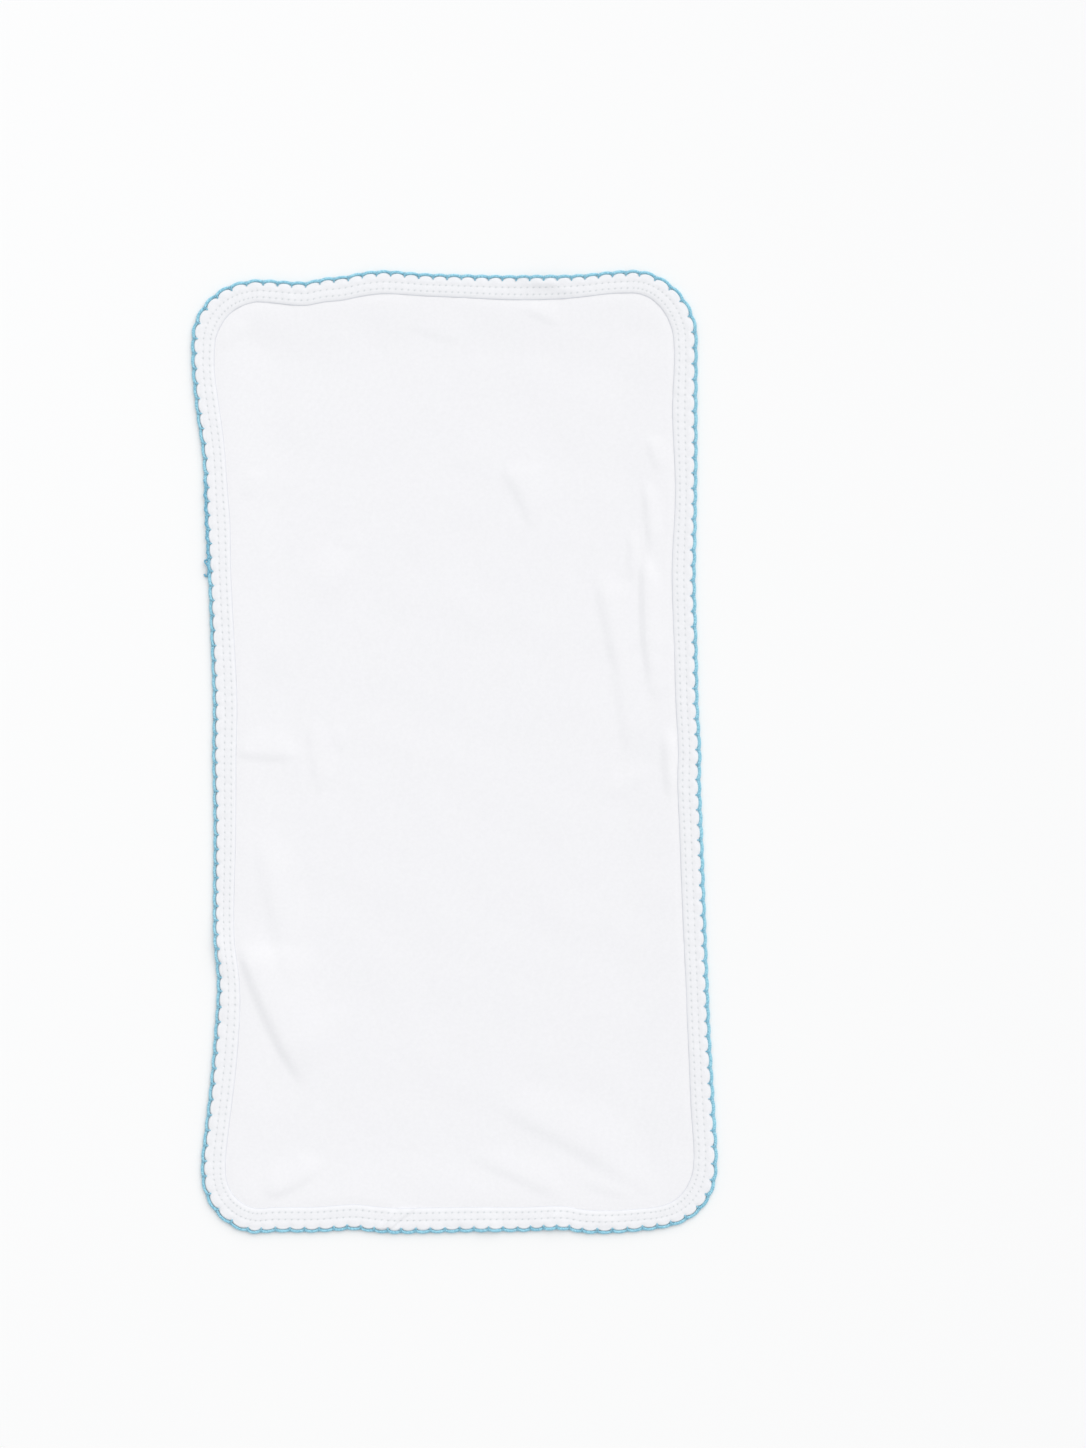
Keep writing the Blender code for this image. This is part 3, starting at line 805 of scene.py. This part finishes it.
def roll_tube(name, centre, radius, sides, closed=True):
    """A tube round a line of points. A grid is rolled up, and its ends are joined where it closes."""
    count = len(centre)
    spans = count if closed else count - 1
    grid, length_share, girth_share = add_grid(name, spans, sides)
    index = np.rint(length_share * spans).astype(int)
    if closed:
        ahead, behind = np.roll(centre, -1, axis=0), np.roll(centre, 1, axis=0)
    else:
        ahead = np.vstack([centre[1:], centre[-1:]])
        behind = np.vstack([centre[:1], centre[:-1]])
    run = ahead - behind
    run /= np.linalg.norm(run, axis=1, keepdims=True)
    side = np.cross(run, (0.0, 0.0, 1.0))
    side /= np.maximum(np.linalg.norm(side, axis=1, keepdims=True), 1e-9)
    up = np.cross(side, run)
    index = index % count
    turn = girth_share * 2 * math.pi
    size = np.broadcast_to(radius, (count,))[index][:, None]
    ring = side[index] * np.cos(turn)[:, None] + up[index] * np.sin(turn)[:, None]
    places = centre[index] + ring * size
    move_points(grid, *places.T)
    bpy.ops.object.mode_set(mode="EDIT")
    bpy.ops.mesh.select_all(action="SELECT")
    bpy.ops.mesh.remove_doubles(threshold=0.000001)
    if not closed:
        bpy.ops.mesh.fill_holes(sides=sides)
    bpy.ops.mesh.normals_make_consistent(inside=False)
    bpy.ops.object.mode_set(mode="OBJECT")
    bpy.ops.object.shade_smooth()
    return grid


def surface_height(along, share):
    """Height of the binding's top, at a share of its reach, without the pits of the stitches."""
    shares = np.array([point.share for point in UPPER_SECTION])[::-1]
    heights = np.array([point.height for point in UPPER_SECTION])[::-1]
    inward = share * reach_of(along)
    soft = 0.05 * unevenness(23, along, inward * 0.6, 3.0, 9.0)
    soft = soft + 0.05 * unevenness(31, along, inward, 9.0, 40.0)
    soft = soft + puff_height(along, inward)
    return np.interp(share, shares, heights) + soft + lap_height(along, inward)


def thread_material(name, colour, dark, roughness, fibre_scale):
    """Spun thread, with its colour varied along the fibres."""
    material = bpy.data.materials.new(name)
    material.use_nodes = True
    tree = material.node_tree
    shader = tree.nodes["Principled BSDF"]
    shader.inputs["Roughness"].default_value = roughness
    shader.inputs["Specular IOR Level"].default_value = 0.25
    shader.inputs["Sheen Weight"].default_value = 0.15
    place = tree.nodes.new("ShaderNodeTexCoord")
    fibre = tree.nodes.new("ShaderNodeTexNoise")
    fibre.inputs["Scale"].default_value = fibre_scale
    fibre.inputs["Detail"].default_value = 4
    tree.links.new(place.outputs["Object"], fibre.inputs["Vector"])
    shades = tree.nodes.new("ShaderNodeValToRGB")
    shades.color_ramp.elements[0].position = 0.38
    shades.color_ramp.elements[0].color = (*dark, 1)
    shades.color_ramp.elements[1].position = 0.62
    shades.color_ramp.elements[1].color = (*colour, 1)
    tree.links.new(fibre.outputs["Fac"], shades.inputs["Fac"])
    tree.links.new(shades.outputs["Color"], shader.inputs["Base Color"])
    bump = tree.nodes.new("ShaderNodeBump")
    bump.inputs["Strength"].default_value = 0.6
    bump.inputs["Distance"].default_value = 0.0001
    tree.links.new(fibre.outputs["Fac"], bump.inputs["Height"])
    tree.links.new(bump.outputs["Normal"], shader.inputs["Normal"])
    return material


white_thread = thread_material("White sewing thread", THREAD_WHITE, (0.84, 0.85, 0.86), 0.7, 2500)
THREAD_STATIONS = 8
thread_along = np.interp(
    np.arange(STITCHES * THREAD_STATIONS) / THREAD_STATIONS,
    np.arange(STITCHES + 1),
    stitch_along,
)
thread_phase = np.tile(np.arange(THREAD_STATIONS) / THREAD_STATIONS, STITCHES)
dive = np.exp(-((np.minimum(thread_phase, 1 - thread_phase) / 0.1) ** 2))
for number, share in enumerate(ROWS_OF_STITCHES):
    thread_height = surface_height(thread_along, share) - 0.06 - (HOLE_DEPTH + 0.2) * dive
    line = lay_down(thread_along, share * reach_of(thread_along), thread_height)
    needle = roll_tube(f"needle_thread_{number + 1}", np.stack(line, axis=1), NEEDLE_THREAD, 6)
    set_material(needle, white_thread)
    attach(needle, "root")

LOOPER_STATIONS = 12
looper_along = np.interp(
    np.arange(STITCHES * LOOPER_STATIONS) / LOOPER_STATIONS,
    np.arange(STITCHES + 1),
    stitch_along,
)
looper_phase = np.tile(np.arange(LOOPER_STATIONS) / LOOPER_STATIONS, STITCHES)
swing = 0.5 - 0.5 * np.cos(looper_phase * 2 * math.pi)
inner, outer_row = ROWS_OF_STITCHES[1], ROWS_OF_STITCHES[0]
looper_share = inner + (outer_row - inner) * swing
looper_height = 0.25 + 0.08 * np.cos(looper_phase * 4 * math.pi)
line = lay_down(looper_along, looper_share * reach_of(looper_along), looper_height)
looper = roll_tube("looper_thread", np.stack(line, axis=1), LOOPER_THREAD, 5)
set_material(looper, white_thread)
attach(looper, "root")

# The edging: one long bulky thread of three loosely twisted light blue plies, laid round the outside
# of the binding's fold. Its stitches pull it in between the scallops.
PLY_RADIUS = 0.405
PLY_OFFSET = 0.445
PLY_TWIST = 2.9
PLY_STEP = 0.3
THREAD_DIP = 0.52
THREAD_HEIGHT = 1.05
BLUE = (0.42, 0.77, 0.90)
BLUE_DARK = (0.24, 0.54, 0.69)

# How thick the thread is, clockwise along the edge: it is drawn tighter on some stretches
ThreadSize = namedtuple("ThreadSize", "along size")
THREAD_SIZES = (
    ThreadSize(0, 0.95),
    ThreadSize(180, 0.95),
    ThreadSize(240, 1.08),
    ThreadSize(640, 1.1),
    ThreadSize(680, 0.95),
    ThreadSize(710, 0.92),
    ThreadSize(826, 0.97),
    ThreadSize(836, 0.86),
    ThreadSize(880, 0.92),
    ThreadSize(915, 0.86),
    ThreadSize(950, 0.88),
    ThreadSize(1228, 0.88),
    ThreadSize(1236, 1.0),
    ThreadSize(1284, 1.0),
    ThreadSize(1292, 0.9),
    ThreadSize(1355, 0.95),
    ThreadSize(1406, 0.95),
)
thread_size = curve_through(THREAD_SIZES, "size")


def edging_line(count):
    """Places along the middle of the edging, with its fullness there."""
    along = np.arange(count) * EDGE_LENGTH / count
    nearness, dip = scallop_at(along)
    uneven = 0.05 * unevenness(41, along, along * 0, 4, 30)
    uneven = uneven + 0.07 * unevenness(42, along, along * 0, 1.6, 5)
    fullness = thread_size(along) * (1 + uneven)
    inward = (PLY_RADIUS + PLY_OFFSET) * fullness + (THREAD_DIP + 0.2 * dip) * nearness
    height = THREAD_HEIGHT + 0.06 * unevenness(43, along, along * 0, 8, 40)
    return along, inward, height, fullness


ply_count = int(EDGE_LENGTH / PLY_STEP)
ply_along, ply_inward, ply_height, ply_fullness = edging_line(ply_count)
ply_turns = round(EDGE_LENGTH / PLY_TWIST)
blue_thread = thread_material("Light blue thread", BLUE, BLUE_DARK, 0.8, 1400)
for ply in range(3):
    twist = 2 * math.pi * (ply_turns * ply_along / EDGE_LENGTH + ply / 3)
    twist = twist + 0.9 * unevenness(47, ply_along, ply_along * 0, 9, 40)
    offset = PLY_OFFSET * ply_fullness
    out = ply_inward + offset * np.cos(twist)
    up = ply_height + offset * np.sin(twist)
    line = lay_down(ply_along, out, up)
    strand = roll_tube(
        f"edging_ply_{ply + 1}", np.stack(line, axis=1), PLY_RADIUS * ply_fullness, 6
    )
    set_material(strand, blue_thread)
    if ply == 0:
        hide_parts("edging")
    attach(strand, "root")

# Where the blue thread meets its own start, high on the left side, its end is laid back over it and
# sewn down a second time. It leaves a small loop and a short cut tail that lies on the table.
SEWN_TWICE_FROM = 1236.0
SEWN_TWICE_TO = 1287.0
END_RADIUS = 0.46
END_STEP = 0.4
END_SWAY = 3.6
# The whole end, tail and loop included, is painted a darker blue than the edging: painted shade for the
# shade between the doubled strands
BLUE_TWICE_SHADED = (0.23, 0.53, 0.70)
BLUE_TWICE_SHADED_DARK = (0.13, 0.37, 0.52)
TailPoint = namedtuple("TailPoint", "along inward height")
TAIL = (
    TailPoint(1237.6, -1.7, 0.55),
    TailPoint(1236.6, -1.2, 0.55),
    TailPoint(1236.3, -0.5, 0.9),
    TailPoint(1237.2, 0.1, 1.6),
    TailPoint(1238.6, 0.6, 2.1),
)
LOOP = (
    TailPoint(1241.0, 0.9, 2.1),
    TailPoint(1242.6, -0.2, 1.9),
    TailPoint(1243.6, -1.1, 1.5),
    TailPoint(1244.6, -0.9, 1.5),
    TailPoint(1244.4, 0.1, 2.1),
    TailPoint(1245.6, 0.8, 2.3),
)
end_along = np.arange(SEWN_TWICE_FROM + 11, SEWN_TWICE_TO, END_STEP)
end_nearness, end_dip = scallop_at(end_along)
end_sway = 0.42 * np.sin(end_along * 2 * math.pi / END_SWAY)
end_sway = end_sway + 0.2 * unevenness(59, end_along, end_along * 0, 5, 14)
end_inward = 0.8 + end_sway + (THREAD_DIP + 0.2 * end_dip) * end_nearness
end_height = THREAD_HEIGHT + 0.72 - 0.25 * end_nearness
end_height = end_height - 0.9 * ease((end_along - SEWN_TWICE_TO + 4) / 4)
end_knots = np.array(
    [(p.along, p.inward, p.height) for p in TAIL + LOOP]
    + list(zip(end_along, end_inward, end_height))
)
knot_share = np.arange(len(end_knots))
fine_share = np.arange(0, len(end_knots) - 1, 0.34)
fine = [np.interp(fine_share, knot_share, end_knots[:, axis]) for axis in range(3)]
soften = np.array((0.25, 0.5, 0.25))
for _ in range(3):
    fine = [np.concatenate([row[:1], np.convolve(row, soften, "valid"), row[-1:]]) for row in fine]
end_line = np.stack(lay_down(*fine), axis=1)
edging_end = roll_tube("edging_end", end_line, END_RADIUS, 6, closed=False)
set_material(edging_end, thread_material("Blue thread, sewn twice, painted shade", BLUE_TWICE_SHADED, BLUE_TWICE_SHADED_DARK, 0.8, 1500))
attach(edging_end, "root")

# The tie-in stitches: at every dip between two scallops the blue thread is caught by two strands
# that go through the binding at one point and spread over the edging.
TIE_RADIUS = 0.27
TIE_SPREAD = 0.42
TIE_BITE = 1.35
BLUE_TIE = (0.33, 0.64, 0.78)
BLUE_TIE_DARK = (0.22, 0.49, 0.64)
TiePoint = namedtuple("TiePoint", "inward height spread")
TIE_PATH = (
    TiePoint(TIE_BITE, 0.32, 0.0),
    TiePoint(TIE_BITE + 0.1, 1.0, 0.0),
    TiePoint(TIE_BITE, 1.66, 0.1),
    TiePoint(1.25, 1.76, 0.3),
    TiePoint(0.65, 1.8, 0.6),
    TiePoint(0.0, 1.95, 0.85),
    TiePoint(-0.65, 1.75, 1.0),
    TiePoint(-0.95, 1.05, 1.0),
    TiePoint(-0.7, 0.4, 0.95),
)


tie_random = np.random.default_rng(53)
tie_paths = []
tie_inward = np.array([point.inward for point in TIE_PATH])
tie_height = np.array([point.height for point in TIE_PATH])
tie_spread = np.array([point.spread for point in TIE_PATH]) * TIE_SPREAD
for start, dip in zip(scallop_starts[:-1], scallop_dips):
    fullness = thread_size(start % EDGE_LENGTH)
    middle = (PLY_RADIUS + PLY_OFFSET) * fullness + THREAD_DIP + 0.2 * dip
    for direction in (-1, 1):
        lean = tie_random.uniform(-0.15, 0.15)
        along = start + direction * tie_spread + lean
        inward = middle + tie_inward + tie_random.uniform(-0.2, 0.25) * (tie_inward > 1)
        x, y, z = lay_down(along, inward, tie_height)
        tie_paths.append(np.stack([x, y, z], axis=1))
tie_lines = np.array(tie_paths)
TIE_SIDES = 5
tie_count, path_count = len(tie_lines), len(TIE_PATH)
run = np.gradient(tie_lines, axis=1)
run /= np.linalg.norm(run, axis=2, keepdims=True)
away = np.cross(run, (0.0, 0.0, 1.0))
flat_run = np.linalg.norm(away, axis=2, keepdims=True)
away = np.where(flat_run > 1e-6, away / np.maximum(flat_run, 1e-6), (1.0, 0.0, 0.0))
over = np.cross(away, run)
turns = np.arange(TIE_SIDES) * 2 * math.pi / TIE_SIDES
points = (
    tie_lines[:, :, None, :]
    + TIE_RADIUS * np.cos(turns)[None, None, :, None] * away[:, :, None, :]
    + TIE_RADIUS * np.sin(turns)[None, None, :, None] * over[:, :, None, :]
)
first = np.arange(tie_count)[:, None, None] * path_count * TIE_SIDES
ring = np.arange(path_count - 1)[None, :, None] * TIE_SIDES
corner = np.arange(TIE_SIDES)[None, None, :]
following = (np.arange(TIE_SIDES) + 1) % TIE_SIDES
a = first + ring + corner
b = first + ring + following[None, None, :]
faces = np.stack([a, b, b + TIE_SIDES, a + TIE_SIDES], axis=-1).reshape(-1, 4)
tie_data = bpy.data.meshes.new("tie_stitches")
tie_data.from_pydata((points.reshape(-1, 3) * MM).tolist(), [], faces.tolist())
ties = bpy.data.objects.new("tie_stitches", tie_data)
bpy.context.scene.collection.objects.link(ties)
bpy.ops.object.select_all(action="DESELECT")
bpy.context.view_layer.objects.active = ties
ties.select_set(True)
bpy.ops.object.mode_set(mode="EDIT")
bpy.ops.mesh.select_all(action="SELECT")
bpy.ops.mesh.fill_holes(sides=TIE_SIDES)
bpy.ops.mesh.normals_make_consistent(inside=False)
bpy.ops.object.mode_set(mode="OBJECT")
bpy.ops.object.shade_smooth()
set_material(ties, thread_material("Blue tie thread", BLUE_TIE, BLUE_TIE_DARK, 0.8, 1800))
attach(ties, "root")

# The table: a plain pale top, well past the edges of the picture, and no part of the cloth.
FLOOR_WHITE = (0.95, 0.95, 0.952)
TABLE_SIZE = 12.0
bpy.ops.mesh.primitive_plane_add(size=TABLE_SIZE, location=(0, 0, 0))
table = bpy.context.object
table.name = "table"
floor_material = bpy.data.materials.new("Pale table")
floor_material.use_nodes = True
floor_shader = floor_material.node_tree.nodes["Principled BSDF"]
floor_shader.inputs["Base Color"].default_value = (*FLOOR_WHITE, 1)
floor_shader.inputs["Roughness"].default_value = 0.9
floor_shader.inputs["Specular IOR Level"].default_value = 0.0
set_material(table, floor_material)

# The light: an even white room with a large soft window beyond the top of the cloth.
EXPOSURE = 1.04
WINDOW_SHARE = 0.3
WINDOW_HEIGHT = math.radians(40)
WINDOW_COLOUR = (1.0, 0.975, 0.955)
ROOM_COLOUR = (0.975, 0.99, 1.0)
LAMP_SHARE = 0.04
LAMP_PLACE = (-0.9, 0.7, 1.5)
LAMP_POWER = 1.8
room = bpy.data.worlds.new("Even room")
room.use_nodes = True
room.node_tree.nodes["Background"].inputs["Color"].default_value = (*ROOM_COLOUR, 1)
evenness = EXPOSURE * (1 - WINDOW_SHARE - LAMP_SHARE)
room.node_tree.nodes["Background"].inputs["Strength"].default_value = evenness
bpy.context.scene.world = room
bpy.ops.object.light_add(type="SUN")
window = bpy.context.object
window.name = "window"
window.data.energy = EXPOSURE * WINDOW_SHARE * math.pi / math.sin(WINDOW_HEIGHT)
window.data.angle = math.radians(58)
window.data.color = WINDOW_COLOUR
heading = math.atan2(LIGHT_SIDE[1], LIGHT_SIDE[0])
window.rotation_euler = (0, math.pi / 2 - WINDOW_HEIGHT, heading)
bpy.ops.object.light_add(type="AREA", location=LAMP_PLACE)
lamp = bpy.context.object
lamp.name = "lamp"
lamp.data.energy = LAMP_POWER
lamp.data.size = 1.0
lamp.rotation_euler = (-Vector(LAMP_PLACE)).to_track_quat("-Z", "Y").to_euler()

# The camera: straight above, as the photograph was taken, with its frame 0.543 by 0.724 m on the table.
VIEW_MIDDLE = (0.0443, 0.01425)
VIEW_LENGTH = 0.724
LENS = 85.0
SENSOR = 36.0
bpy.ops.object.camera_add(location=(*VIEW_MIDDLE, VIEW_LENGTH * LENS / SENSOR), rotation=(0, 0, 0))
camera = bpy.context.object
camera.data.lens = LENS
camera.data.sensor_fit = "VERTICAL"
camera.data.sensor_height = SENSOR
bpy.context.scene.camera = camera
bpy.context.scene.view_settings.view_transform = "Standard"
